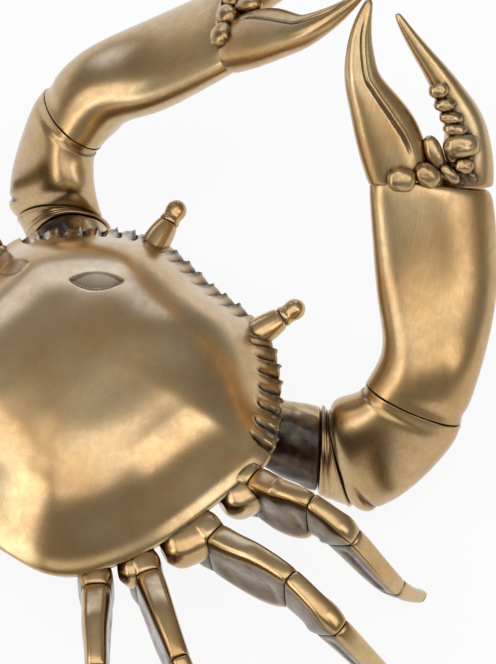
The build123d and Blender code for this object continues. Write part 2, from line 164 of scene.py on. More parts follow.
# Yellow brass, sand cast, burnished and lacquered: soft, warm reflections that whiten in strong light.
# Sizes and relief are in mm, depths are shares of the relief, and zones are ranges of a pattern's value.
burnished = {
    "warm": "#C69F6A", "pale": "#D6B98B", "driftSize": 38.5, "driftZone": (0.38, 0.64),
    "brown": "#94724A", "mottle": 0.3, "mottleSize": 5.26, "mottleZone": (0.35, 0.72),
    "brushTurn": (0.0, 0.0, 0.0), "brushSpacing": 0.833, "brushLength": 27.8, "brushZone": (0.3, 0.7),
    "brushDepth": 0.05, "streak": 0.06, "paired": False,
    "grainSize": 0.667, "grainDepth": 0.04, "relief": 0.1,
    "pits": 1.0, "pitSpacing": 8.33, "pitEdge": (0.02, 0.06), "pitZone": (0.57, 0.63), "pitDepth": 1.5,
    "waxAndShade": "#4E3A26", "waxAndShadeZone": (0.05, 0.6), "waxAndShadeMost": 0.8, "dark": "#2A1F17", "sootAndShadeZone": (1.05, 1.6),
    "rough": (0.22, 0.28), "satinZone": (0.3, 0.7), "dirtRough": 0.28, "coat": 0.8, "coatRough": 0.2,
}
# the shell, burnished by hand: the smoothest skin, with wide soft reflections and faint crossing lines
shellBrass = makeBrass("brass_burnished_shell", dict(
    burnished, rough=(0.22, 0.29), brushTurn=(1.35, 0.3, 0.6)))
# brushed down the length of the claw, so highlights run lengthwise and stay broad
clawBrass = makeBrass("brass_brushed_claw", dict(
    burnished, paired=True, pits=0.0, brushTurn=(-0.8, 0.41, 0.0), brushDepth=0.18, streak=0.17,
    rough=(0.26, 0.33), coat=0.45))
# brushed legs and eyes with worn lacquer: sharper reflections on the ridges, browner hollows, and a dark wax
# colour that paints shade on the legs' flat sides
legBrass = makeBrass("brass_brushed_leg", dict(
    burnished, brown="#86683F", waxAndShade="#3F2D1E", brushTurn=(0.0, 1.5, 0.2), brushDepth=0.08,
    rough=(0.2, 0.28), coat=0.45))
# half burnished: bright where the hand reaches, brown and rough behind, its dark side partly patina and
# partly painted shade
armBrass = makeBrass("brass_arm_patina_and_painted_shade", dict(
    burnished, waxAndShade="#40332A", paired=True, pits=0.0, brushTurn=(-0.8, 0.41, 0.0), brushDepth=0.15,
    streak=0.2, grainDepth=0.25, rough=(0.24, 0.32)))
# cast skin left rough and blackened: dull, with sparks of bare metal
castBrass = makeBrass("brass_rough_cast", dict(
    burnished, warm="#6E5B48", pale="#8A735A", brown="#3A2C22", waxAndShade="#3A2C24", mottle=0.6,
    streak=0.3, grainSize=1.25, grainDepth=0.7, rough=(0.34, 0.48), coat=0.3))
print("materials ready")


# Limbs follow rows of stations: x, y, z, half width, half thickness, the way it faces and, on a claw,
# the way it runs. A station number u may fall between two rows.
def valuesAt(rows, u):
    # a smooth curve through the stations, and its slope
    last = len(rows) - 1
    low = min(int(u), last - 1)
    t = u - low
    before, start, end, after = [np.array(rows[min(max(k, 0), last)]) for k in range(low - 1, low + 3)]
    leaving = (end - before) / (2 if low > 0 else 1)
    arriving = (after - start) / (2 if low + 2 <= last else 1)
    values = ((2 * t**3 - 3 * t**2 + 1) * start + (t**3 - 2 * t**2 + t) * leaving
              + (3 * t**2 - 2 * t**3) * end + (t**3 - t**2) * arriving)
    slopes = ((6 * t**2 - 6 * t) * (start - end) + (3 * t**2 - 4 * t + 1) * leaving
              + (3 * t**2 - 2 * t) * arriving)
    return values, slopes


def stationAt(rows, u):
    # the place, the ways along and across, the half sizes and the mm that one station number spans
    values, slopes = valuesAt(rows, u)
    along = Vector(values[8:11] if len(values) > 8 else slopes[0:3]).normalized()
    across = along.cross(Vector(values[5:8])).normalized()
    return Vector(values[0:3]), along, across, values[3], values[4], Vector(slopes[0:3]).length


def limbRings(rows, first, last, startEnd=(0.93, 1.0), farEnd=(0.93, 1.0), inner=4, swell=None):
    # each end is drawn in to a share, over a length in mm
    fromU = first + startEnd[1] / stationAt(rows, first)[5]
    toU = last - farEnd[1] / stationAt(rows, last)[5]
    marks = [(first, startEnd[0], seamGap), (fromU, 1.0, 0)]
    marks += [(fromU + (toU - fromU) * k / (inner + 1), 1.0, 0) for k in range(1, inner + 1)]
    marks += [(toU, 1.0, 0), (last, farEnd[0], -seamGap)]
    rings = []
    for u, draw, shift in marks:
        centre, along, across, halfWidth, halfThick = stationAt(rows, u)[:5]
        swollen = swell((u - first) / (last - first)) if swell else 1
        rings.append(((centre + along * shift) * mm, along, across,
                      halfWidth * draw * swollen * mm, halfThick * draw * swollen * mm))
    return rings


def selectVerts(mesh, first, last):
    bpy.ops.mesh.select_all(action="DESELECT")
    work = bmesh.from_edit_mesh(mesh)
    work.verts.ensure_lookup_table()
    for k in range(first, last):
        work.verts[k].select = True
    work.select_flush(True)
    bmesh.update_edit_mesh(mesh)


def squareRings(mesh, rings, count, square):
    # ovals squared off, for limbs with a flat top and flat sides; 2 leaves them oval
    work = bmesh.from_edit_mesh(mesh)
    work.verts.ensure_lookup_table()
    for k, (centre, along, across, halfWidth, halfThick) in enumerate(rings):
        up = along.cross(across)
        for j in range(k * count, (k + 1) * count):
            vert = work.verts[j]
            x = (vert.co - centre).dot(across) / halfWidth
            y = (vert.co - centre).dot(up) / halfThick
            x = math.copysign(abs(x) ** (2 / square), x)
            y = math.copysign(abs(y) ** (2 / square), y)
            vert.co = centre + across * (x * halfWidth) + up * (y * halfThick)
    bmesh.update_edit_mesh(mesh)


capInset = 0.25        # an end face's inset, as a share of its smaller half size


def castTube(name, rings, count=20, levels=2, square=2.3):
    # circles added at their places and squashed, bridged into a tube, capped and smoothed
    bpy.ops.object.select_all(action="DESELECT")
    for k, (centre, along, across, halfWidth, halfThick) in enumerate(rings):
        turn = Matrix((across, along.cross(across), along)).transposed()
        bpy.ops.mesh.primitive_circle_add(vertices=count, radius=halfWidth, location=centre,
                                          rotation=turn.to_euler())
        if k == 0:
            tube = bpy.context.active_object
            tube.name = tube.data.name = name
            bpy.ops.object.transform_apply()
            bpy.ops.object.mode_set(mode="EDIT")
            bpy.ops.mesh.select_mode(type="VERT")
        bpy.ops.transform.resize(value=(1, halfThick / halfWidth, 1), orient_type="GLOBAL",
                                 orient_matrix=turn, orient_matrix_type="GLOBAL", center_override=centre)
    mesh = tube.data
    squareRings(mesh, rings, count, square)
    for k in range(len(rings) - 1):
        selectVerts(mesh, k * count, (k + 2) * count)
        bpy.ops.mesh.bridge_edge_loops()
    for k in (0, len(rings) - 1):
        selectVerts(mesh, k * count, (k + 1) * count)
        bpy.ops.mesh.edge_face_add()
        bpy.ops.mesh.inset(thickness=capInset * min(rings[k][3:5]))
    bpy.ops.mesh.select_all(action="SELECT")
    bpy.ops.mesh.normals_make_consistent(inside=False)
    bpy.ops.object.mode_set(mode="OBJECT")
    smooth(tube, levels)
    return tube


def smooth(piece, levels):
    rounding = piece.modifiers.new("rounding", "SUBSURF")
    rounding.levels = rounding.render_levels = levels
    bpy.ops.object.modifier_apply(modifier="rounding")
    bpy.ops.object.shade_smooth()


# Carving: vertices are read in mm, moved along their normals and written back
def vertexArrays(piece):
    mesh = piece.data
    spots = np.empty(len(mesh.vertices) * 3)
    normals = np.empty(len(mesh.vertices) * 3)
    mesh.vertices.foreach_get("co", spots)
    mesh.vertices.foreach_get("normal", normals)
    return spots.reshape(-1, 3) / mm, normals.reshape(-1, 3)


def setVertices(piece, spots):
    piece.data.vertices.foreach_set("co", (spots * mm).ravel())
    piece.data.update()


def alongLimb(rows, first, last, spots, steps=80):
    # each place's station number, mm across and out of the face, and the half sizes there
    frames = [stationAt(rows, first + (last - first) * k / steps) for k in range(steps + 1)]
    centres, alongs, acrosses = [np.array([f[k] for f in frames]) for k in range(3)]
    sizes = np.array([f[3:6] for f in frames])
    nearest = np.argmin(((spots[:, None, :] - centres[None]) ** 2).sum(axis=2), axis=1)
    offsets = spots - centres[nearest]
    alongs, acrosses, sizes = alongs[nearest], acrosses[nearest], sizes[nearest]
    facings = np.cross(alongs, acrosses)
    u = first + (last - first) * nearest / steps + (offsets * alongs).sum(axis=1) / sizes[:, 2]
    side, rise = (offsets * acrosses).sum(axis=1), (offsets * facings).sum(axis=1)
    return u, side, rise, sizes[:, 0], sizes[:, 1]


def bell(values, width):
    return np.exp(-(values / width) ** 2)


def step(values, low, high):
    t = np.clip((values - low) / (high - low), 0, 1)
    return t * t * (3 - 2 * t)


def within(u, start, full, ebb, end):
    # 1 from full to ebb, and fading out before and after
    return step(u, start, full) * step(-u, -end, -ebb)


def noiseAt(spots, scale):
    return np.array([noise.noise(Vector(spot) * scale) for spot in spots])


allPieces = []
rightPieces = []       # pieces with a twin on the left, each with the twin's node, material and slot
extraPatinaAndShade = {}       # piece name: a share of patina and painted shade for each vertex, from its carving


def finish(piece, node, material):
    piece.data.materials.clear()
    piece.data.materials.append(material)
    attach(piece, "root")
    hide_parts(node)
    allPieces.append(piece)


def finishRight(piece, node, material, slot="satin_brass"):
    finish(piece, node + "_right", material)
    rightPieces.append((piece, node + "_left", material, slot))


# Claws
claw = {
    "reach": 91.0, "width": 49.0, "thickness": 28.0, "finger": 66.0,
    "shoulder": (42.04, -25.94, 32.04),
    "armDrop": {0: -2.0, 1: -2.8},      # mm back at the first two stations, to stand as the real arm does
    # shares: place, half width, half thickness, then the ways it faces and runs
    "stations": (
        (0, 0, 0, 0.245, 0.393, 0.5, -0.5, 0.7, 0.87, 0.4, -0.28),
        (0.165, 0.077, -0.066, 0.3, 0.446, 0.6, -0.6, 0.5, 0.82, 0.53, -0.2),
        (0.324, 0.148, -0.132, 0.357, 0.553, 0.58, -0.6, 0.55, 0.74, 0.67, -0.03),
        (0.422, 0.184, -0.137, 0.4, 0.593, 0.56, -0.58, 0.6, 0.6, 0.76, 0.25),
        (0.511, 0.225, -0.005, 0.49, 0.5, 0.52, -0.55, 0.65, 0.5, 0.66, 0.56),
        (0.591, 0.373, 0.164, 0.443, 0.493, 0.58, -0.49, 0.65, 0.036, 0.696, 0.718),
        (0.588, 0.448, 0.238, 0.425, 0.507, 0.586, -0.479, 0.656, -0.117, 0.711, 0.693),
        (0.542, 0.602, 0.379, 0.408, 0.529, 0.59, -0.46, 0.67, -0.363, 0.714, 0.6),
        (0.368, 0.812, 0.531, 0.498, 0.443, 0.63, -0.39, 0.67, -0.563, 0.559, 0.608),
        (0.117, 1.02, 0.842, 0.52, 0.35, 0.65, -0.35, 0.68, -0.411, 0.644, 0.646),
    ),
    # the arm's cast rib, its lumps as (mm high, pattern scale), and the way that its dark side looks; that
    # side is partly patina and partly painted shade
    "armRib": {"height": 1.1, "middle": 0.25, "width": 2.2, "shine": 0.35, "shineWidth": 1.2},
    "armLumps": (0.6, 0.16), "armGrain": (0.15, 0.55), "armSink": 0.2, "armEnds": (0.1, 0.35, 1.7, 1.95),
    "armShadeWay": (-0.8, 0.6, 0.0), "armShadeEdge": (-0.3, 0.25), "armShadeBroken": 0.25, "armPatinaAndShade": 1.1,
    "armClean": 0.1,
    # beads of the wrist ring: places along it, their half width and height as shares
    "beads": (0.08, 0.24, 0.9), "beadWidth": 0.045, "beadRise": 0.045,
    # carving on the wrist and palm: mm high, station number, its spread; then share across, its spread
    "elbowKnob": (1.6, 3.45, 0.28), "elbowGroove": (-1.3, 3.75, 0.06), "groovePatina": (0.6, 3.76, 0.05),
    "grooveLean": 0.12, "outerSide": (0.1, 0.8), "wristDip": (-0.7, 5.7, 0.25), "innerSide": (-0.6, 0.4),
    "palmDip": (-0.8, 6.18, 0.14), "palmDipSide": (-0.7, 0.5), "palmFront": (0.1, 0.7),
    "palmSwellings": ((1.9, 6.65, 0.35, -0.25, 0.35), (0.6, 7.7, 0.9, 0.3, 0.35)),
    # shares: across the palm and along the finger, half width and half thickness
    "movingFinger": (
        (-0.26, 0, 0.255, 0.173), (-0.367, 0.18, 0.27, 0.17), (-0.488, 0.32, 0.237, 0.155),
        (-0.635, 0.47, 0.167, 0.13), (-0.705, 0.56, 0.14, 0.11), (-0.757, 0.74, 0.1, 0.08),
        (-0.757, 0.88, 0.065, 0.055), (-0.732, 1, 0.03, 0.03),
    ),
    "fixedFinger": (
        (0.29, 0, 0.229, 0.173), (0.265, 0.15, 0.218, 0.173), (0.229, 0.3, 0.176, 0.16),
        (0.163, 0.4, 0.155, 0.15), (0.051, 0.5, 0.129, 0.13), (-0.069, 0.61, 0.1, 0.1),
        (-0.255, 0.74, 0.07, 0.075), (-0.41, 0.86, 0.045, 0.05), (-0.5, 0.94, 0.025, 0.025),
    ),
    # the finger's chased groove: share across and its lean, then depth and width of groove and rib
    "fingerGroove": {"start": 0.42, "lean": 0.1, "depth": 0.6, "width": 0.42, "ribAway": 1.1,
                     "ribHeight": 0.2, "ribWidth": 0.6, "patina": 0.25, "patinaWidth": 0.35,
                     "front": (0.1, 0.5), "ends": (0.5, 1.2, 5.0, 6.4)},
    # mm across, along and out of the face from the end of the palm, then half sizes and tilt
    "teeth": (
        (-4.3, 35.6, 4.6, 3.9, 3.2, 3.0, 0.3), (-1.2, 30.6, 5.2, 4.4, 2.8, 3.2, 0.2),
        (2.0, 26.1, 5.8, 4.8, 2.7, 3.4, 0.1), (4.3, 21.9, 6.2, 5.0, 2.5, 3.4, 0.0),
        (7.5, 16.0, 6.4, 7.2, 5.2, 4.8, 0.2), (9.7, 8.6, 7.2, 4.0, 3.3, 3.4, 0.0),
        (4.4, 12.0, 6.6, 2.6, 3.4, 2.6, 0.6), (13.4, 5.2, 6.4, 3.6, 2.4, 2.6, -0.5),
    ),
    "bosses": (
        (-14.2, 0.4, 8.0, 5.8, 4.9, 3.8, 0.0), (-4.4, 3.2, 8.2, 5.6, 4.3, 3.8, -0.5),
        (4.6, 4.6, 7.0, 5.2, 2.6, 3.4, -0.6), (-2.2, 11.4, 5.0, 3.5, 7.4, 3.6, 0.5),
        (8.6, 3.0, 6.2, 3.4, 1.6, 2.4, -0.5),
    ),
    # their skin: how square, the pitch of creases and pits to a lump's radius, and patina at mid height
    "lumpSquare": 0.85, "creases": 2.1, "pits": 5, "pitShare": 0.4, "toothPitting": 0.07, "bossPitting": 0.04,
    "lumpPatina": 0.05, "lumpWear": 0.5,
}


def clawRows():
    shoulderR, shoulderF, shoulderZ = claw["shoulder"]
    reach = claw["reach"]
    rows = []
    for k, (r, f, up, wide, thick, faceR, faceF, faceUp, runR, runF, runUp) in enumerate(claw["stations"]):
        drop = claw["armDrop"].get(k, 0)
        at = place(shoulderR + r * reach, shoulderF + f * reach + drop, shoulderZ + up * reach)
        rows.append((*at, wide * claw["width"], thick * claw["thickness"],
                     -faceR, -faceF, faceUp, -runR, -runF, runUp))
    return rows


clawLine = clawRows()


def carveArm(piece):
    # a raised rib on top and the lumps of an unfinished casting
    spots, normals = vertexArrays(piece)
    u, side, rise, wide, thick = alongLimb(clawLine, 0, 2, spots)
    rib = claw["armRib"]
    lumps = noiseAt(spots, claw["armLumps"][1])
    grain = noiseAt(spots, claw["armGrain"][1])
    ends = within(u, *claw["armEnds"])
    fromRib = side - rib["middle"] * wide
    ribMove = rib["height"] * bell(fromRib, rib["width"]) * (rise > 0)
    move = ribMove + claw["armLumps"][0] * lumps + claw["armGrain"][0] * grain - claw["armSink"]
    setVertices(piece, spots + normals * (move * ends)[:, None])
    # burnished towards the crab's face; the side turned to the legs is darkened, partly as patina and partly
    # as painted shade
    facing = normals @ np.array(claw["armShadeWay"])
    turned = step(facing + claw["armShadeBroken"] * lumps, *claw["armShadeEdge"])
    shine = rib["shine"] * bell(fromRib, rib["shineWidth"])
    extraPatinaAndShade[piece.name] = claw["armPatinaAndShade"] * turned - shine - claw["armClean"]


arm = castTube("claw_arm_Right", limbRings(clawLine, 0, 2, (0.95, 1.5), (0.93, 1.0), inner=5), count=24)
carveArm(arm)
finishRight(arm, "claw_arm", armBrass, "patinated_brass")


def ringSwell(share):
    # two thin beads at the arm's end of the ring and one at the wrist's
    beads = sum(math.exp(-((share - at) / claw["beadWidth"]) ** 2) for at in claw["beads"])
    return 1 + claw["beadRise"] * beads


ringLine = limbRings(clawLine, 2, 3, (0.96, 0.4), (0.96, 0.4), inner=14, swell=ringSwell)
wristRing = castTube("claw_wrist_ring_Right", ringLine, count=32, levels=1)
finishRight(wristRing, "claw_wrist_ring", clawBrass)


def carveWrist(piece):
    # the grooved knob at the elbow, and a shallow dip before the palm
    spots, normals = vertexArrays(piece)
    u, side, rise, wide, thick = alongLimb(clawLine, 3, 6, spots)
    outer = step(side / wide, *claw["outerSide"])
    lean = claw["grooveLean"] * rise / thick
    height, at, spread = claw["elbowKnob"]
    knob = height * bell(u - at, spread) * outer
    height, at, spread = claw["elbowGroove"]
    groove = height * bell(u - at - lean, spread) * outer
    height, at, spread = claw["wristDip"]
    dip = height * bell(u - at, spread) * step(-side / wide, *claw["innerSide"])
    setVertices(piece, spots + normals * (knob + groove + dip)[:, None])
    dark, at, spread = claw["groovePatina"]
    extraPatinaAndShade[piece.name] = dark * bell(u - at - lean, spread) * outer


wrist = castTube("claw_wrist_Right", limbRings(clawLine, 3, 6, (0.95, 1.2), (0.995, 0.3), inner=7),
                 count=24, levels=3)
carveWrist(wrist)
finishRight(wrist, "claw_wrist", clawBrass)


def carvePalm(piece):
    # a round swelling just past the wrist, and a low crown along the outer half
    spots, normals = vertexArrays(piece)
    u, side, rise, wide, thick = alongLimb(clawLine, 6, 9, spots)
    front = step(rise / thick, *claw["palmFront"])
    move = np.zeros(len(spots))
    for height, at, spread, middle, breadth in claw["palmSwellings"]:
        move = move + height * bell(u - at, spread) * bell(side / wide - middle, breadth) * front
    height, at, spread = claw["palmDip"]
    move = move + height * bell(u - at, spread) * step(side / wide, *claw["palmDipSide"])
    setVertices(piece, spots + normals * move[:, None])


palm = castTube("claw_palm_Right", limbRings(clawLine, 6, 9, (0.995, 0.3), (0.9, 2.2), inner=8),
                count=24, levels=3, square=2.1)
carvePalm(palm)
finish(palm, "claw_palm_right", clawBrass)

palmEnd, palmAlong, palmAcross = stationAt(clawLine, 9)[:3]
palmFacing = palmAcross.cross(palmAlong)
if palmFacing.z < 0:
    palmFacing = -palmFacing


def fingerRows(table):
    rows = []
    for across, along, wide, thick in table:
        at = palmEnd + palmAcross * (across * claw["width"]) + palmAlong * (along * claw["finger"])
        rows.append((*at, wide * claw["width"], thick * claw["width"], *palmFacing))
    return rows


def carveMovingFinger(piece):
    # a long chased groove with a thin rib beside it
    spots, normals = vertexArrays(piece)
    u, side, rise, wide, thick = alongLimb(movingLine, 0, 7, spots)
    groove = claw["fingerGroove"]
    along, across = stationAt(movingLine, 2)[1:3]
    front = 1 if along.cross(across).dot(palmFacing) > 0 else -1
    zone = step(front * rise / thick, *groove["front"]) * within(u, *groove["ends"])
    line = side - (groove["start"] - groove["lean"] * u) * wide
    move = (-groove["depth"] * bell(line, groove["width"])
            + groove["ribHeight"] * bell(line - groove["ribAway"], groove["ribWidth"]))
    setVertices(piece, spots + normals * (move * zone)[:, None])
    extraPatinaAndShade[piece.name] = groove["patina"] * bell(line, groove["patinaWidth"]) * zone


movingLine = fingerRows(claw["movingFinger"])
movingFinger = castTube("claw_moving_finger_Right",
                        limbRings(movingLine, 0, 7, (0.95, 1.2), (0.45, 1.0), inner=9), levels=3)
carveMovingFinger(movingFinger)
finish(movingFinger, "claw_moving_finger_right", clawBrass)
fixedLine = fingerRows(claw["fixedFinger"])
fixedFinger = castTube("claw_fixed_finger_Right",
                       limbRings(fixedLine, 0, 8, (0.95, 1.2), (0.45, 1.0), inner=9), levels=2)
finish(fixedFinger, "claw_fixed_finger_right", clawBrass)


def chasedLump(name, row, pitting, seed):
    # a squared ball with a pitted, creased skin
    across, along, out, halfAcross, halfAlong, halfOut, tilt = row
    at = palmEnd + palmAcross * across + palmAlong * along + palmFacing * out
    bpy.ops.object.select_all(action="DESELECT")
    bpy.ops.mesh.primitive_uv_sphere_add(segments=36, ring_count=20, radius=1)
    made = bpy.context.active_object
    made.name = made.data.name = name
    spots = vertexArrays(made)[0] * mm
    squared = np.sign(spots) * np.abs(spots) ** claw["lumpSquare"]
    creases = [noise.noise(Vector(s) * claw["creases"] + Vector((seed, 0, 0))) for s in spots]
    pits = [noise.noise(Vector(s) * claw["pits"] + Vector((0, seed, 0))) for s in spots]
    rough = np.array(creases) + claw["pitShare"] * np.array(pits)
    squared = squared * (1 + pitting * rough)[:, None] * np.array((halfAcross, halfAlong, halfOut))
    turned = squared @ np.array(Matrix.Rotation(-tilt, 3, "Z"))
    axes = np.array((palmAcross, palmAlong, palmFacing))
    setVertices(made, turned @ axes + np.array(at))
    bpy.ops.object.shade_smooth()
    made.data.materials.append(clawBrass)
    extraPatinaAndShade[made.name] = claw["lumpPatina"] - claw["lumpWear"] * rough
    return made


bosses = [chasedLump("boss%d" % k, row, claw["bossPitting"], 3 * k) for k, row in enumerate(claw["bosses"])]
teeth = [chasedLump("tooth%d" % k, row, claw["toothPitting"], 20 + 3 * k)
         for k, row in enumerate(claw["teeth"])]
print("claw pieces", len(allPieces))

# Legs
leg = {
    "reach": 106.0, "depth": 32.0, "thickness": 12.0, "rootZ": 32.985,
    "roots": ((58.06, -50.06), (57.06, -76.0), (53.05, -98.98), (43.04, -109.98)),
    # shares of the reach outward and forward, and of the root's height
    "places": (
        ((0, 0, 1.09), (0.179, 0.03, 1.275), (0.292, 0.042, 1.35), (0.406, 0.075, 1.5),
         (0.539, 0.094, 1.4), (0.703, 0.16, 0.485), (0.759, 0.254, -0.06)),
        ((0, 0, 1.05), (0.235, -0.012, 1.2), (0.42, 0.013, 1.27), (0.58, 0.028, 1.42),
         (0.776, 0.024, 1.33), (0.934, 0.1, 0.485), (1, 0.15, -0.06)),
        ((0, 0, 1), (0.189, -0.085, 1.14), (0.349, -0.17, 1.21), (0.5, -0.245, 1.31),
         (0.623, -0.302, 1.185), (0.755, -0.368, 0.455), (0.811, -0.396, -0.06)),
        ((0, 0, 1), (0.179, -0.151, 1.13), (0.292, -0.264, 1.18), (0.406, -0.368, 1.28),
         (0.481, -0.453, 1.155), (0.557, -0.557, 0.455), (0.594, -0.613, -0.06)),
    ),
    "sections": ((0.4, 0.5), (0.42, 0.5), (0.5, 0.45), (0.38, 0.37), (0.29, 0.38), (0.2, 0.32), (0.075, 0.2)),
    # small shifts of the bent part, in mm to the right and forward
    "nudges": (
        ((-1, -3), (-1, -4), (-1, -4), (-2, -4), (-2, -3.5), (-1, -1.5), (0, 0)),
        ((0, -1), (-1.5, -1), (-3, -1), (-4, -0.5), (-4, 0), (-2, 0), (0, 0)),
        ((0, 0),) * 7,
        ((0, 0),) * 7,
    ),
    # shoulders of the hips: right, forward, up, half width and half height
    "shoulders": (
        ((74, -45, 43.5, 8, 8.5), (72.5, -55, 43.5, 9, 8.8), (70, -66, 43, 7.5, 8.5)),
        ((74, -74.5, 43, 8, 8.5), (71.5, -85, 43, 9, 8.8), (68, -96, 42.5, 7.5, 8.2)),
        ((68, -104, 42.5, 6, 7), (64.5, -109, 42.5, 6.5, 7.2), (61, -113.5, 42, 5.5, 6.8)),
        (),
    ),
    "parts": (("hip", 0, 1), ("thigh", 1, 3), ("knee", 3, 4), ("shin", 4, 5), ("toe", 5, 6)),
    # a swelling round the casting: mm high, share of its length and spread
    "rings": {"hip": (1.0, 0.72, 0.16), "knee": (0.7, 0.8, 0.15)},
    # carving of the flat sides: shares of half thickness and half width where they begin and end, and their
    # painted shade
    "flankRise": (0.5, 0.95), "flankSide": (-0.95, -0.6), "sidePaintedShade": 0.6,
    # half width as a share of the casting's and mm added to it, and shares at which it fades in and out
    "groove": (0.14, 0.6), "grooveDepth": 0.9, "grooveEnds": (0.05, 0.25, 0.2, 0.0),
    "grooveDark": (0.12, 0.3), "groovePatina": 0.5,
    "hollow": (0.1, 0.45), "hollowDepth": 1.1, "hollowEnds": (0.1, 0.5, 0.5, 0.1),
}


def legRows(number):
    rootR, rootF = leg["roots"][number]
    places, nudges = leg["places"][number], leg["nudges"][number]
    outR, outF = places[3][:2]
    rows = []
    for (r, f, up), (deep, thick), (moveR, moveF) in zip(places, leg["sections"], nudges):
        at = place(rootR + r * leg["reach"] + moveR, rootF + f * leg["reach"] + moveF, up * leg["rootZ"])
        rows.append((*at, deep * leg["depth"], thick * leg["thickness"], outF, -outR, 0))
    return rows


def carveLeg(piece, rows, part, first, last):
    spots, normals = vertexArrays(piece)
    u, side, rise, wide, thick = alongLimb(rows, first, last, spots)
    flanks = step(np.abs(rise) / thick, *leg["flankRise"]) * step(-np.abs(side) / wide, *leg["flankSide"])
    move = np.zeros(len(spots))
    # the flat sides are darkened as painted shade, standing in for the dark reflections on them
    dark = leg["sidePaintedShade"] * flanks
    if part in ("shin", "toe"):
        # a groove down each side
        start, full, ebb, end = leg["grooveEnds"]
        fade = within(u, first + start, first + full, last - ebb, last - end)
        share, more = leg["groove"]
        move = -leg["grooveDepth"] * bell(side, share * wide + more) * flanks * fade
        share, more = leg["grooveDark"]
        dark = dark + leg["groovePatina"] * bell(side, share * wide + more) * flanks * fade
    if part == "thigh":
        # hollow sides between the top and bottom ribs
        start, full, ebb, end = leg["hollowEnds"]
        fade = within(u, first + start, first + full, last - ebb, last - end)
        middle, spread = leg["hollow"]
        move = -leg["hollowDepth"] * bell((side + middle * wide) / wide, spread) * flanks * fade
    if part in leg["rings"]:
        height, at, spread = leg["rings"][part]
        move = height * bell(u - first - at, spread)
    spots = spots + normals * move[:, None]
    if part == "toe":
        spots[:, 2] = np.maximum(spots[:, 2], 0)      # no toe reaches below the table
    setVertices(piece, spots)
    extraPatinaAndShade[piece.name] = dark


def castShoulder(name, table):
    # a rounded shoulder running back from the hip along the margin of the shell
    line = [(*place(r, f, up), wide, high, 0, 0, 1) for r, f, up, wide, high in table]
    made = castTube(name, limbRings(line, 0, 2, (0.6, 2.0), (0.5, 3.5), inner=3), count=16, square=2.6)
    extraPatinaAndShade[name] = np.zeros(len(made.data.vertices))
    made.data.materials.append(legBrass)
    return made


hipShoulders = []      # each with the hip that it belongs to
for number in range(4):
    rows = legRows(number)
    for part, first, last in leg["parts"]:
        node = "leg_%d_%s" % (number + 1, part)
        rings = limbRings(rows, first, last, (0.93, 0.8), (0.93, 0.8), inner=3 * (last - first))
        # finer on the two legs whose sides show most
        levels = 3 if number < 2 and part in ("thigh", "shin") else 2
        piece = castTube(node + "_Right", rings, square=4, levels=levels)
        carveLeg(piece, rows, part, first, last)
        finishRight(piece, node, legBrass)
        if part == "hip":
            hip = piece
    if leg["shoulders"][number]:
        shoulder = castShoulder("knuckle%d" % number, leg["shoulders"][number])
        hipShoulders.append((shoulder, hip))
print("leg pieces", len(allPieces))

# Eyes: a tapered stalk and a ball-ended peg
eye = {
    "spacing": 57.0, "stalk": 20.5, "width": 11.0, "way": (-0.23, -0.955, 0.17), "root": -0.34, "lift": 0.03,
    "taper": ((0, 1.1), (0.4, 1), (0.68, 0.8)),      # shares of the stalk's length and width
    # mm from the stalk and radius
    "profile": ((0, 3.9), (0.6, 4.3), (1.6, 4.3), (2.6, 3.85), (3.8, 3.9), (5.4, 4.35), (7.2, 4.4),
                (9.0, 3.6), (10.2, 2.2), (10.7, 0.9)),
}
stalkRoot = place(eye["spacing"] / 2, eye["root"] * eye["stalk"], rimZ + eye["lift"] * eye["stalk"])
eyeWay = Vector(eye["way"]).normalized()
stalkLine = []
for reach, wide in eye["taper"]:
    radius = wide * eye["width"] / 2
    stalkLine.append((*(stalkRoot + eyeWay * (reach * eye["stalk"])), radius, radius, 0, 0, 1))
stalk = castTube("eye_stalk_Right", limbRings(stalkLine, 0, 2, (0.95, 1.0), (0.94, 0.5), inner=4), count=16)
finishRight(stalk, "eye_stalk", legBrass)
seat = stalkRoot + eyeWay * (eye["taper"][-1][0] * eye["stalk"] + seamGap)
eyeAcross = eyeWay.cross(Vector((0, 0, 1))).normalized()
eyeRings = [((seat + eyeWay * reach) * mm, eyeWay, eyeAcross, w * mm, w * mm) for reach, w in eye["profile"]]
ball = castTube("eye_Right", eyeRings, count=16, square=2)
finishRight(ball, "eye", legBrass)

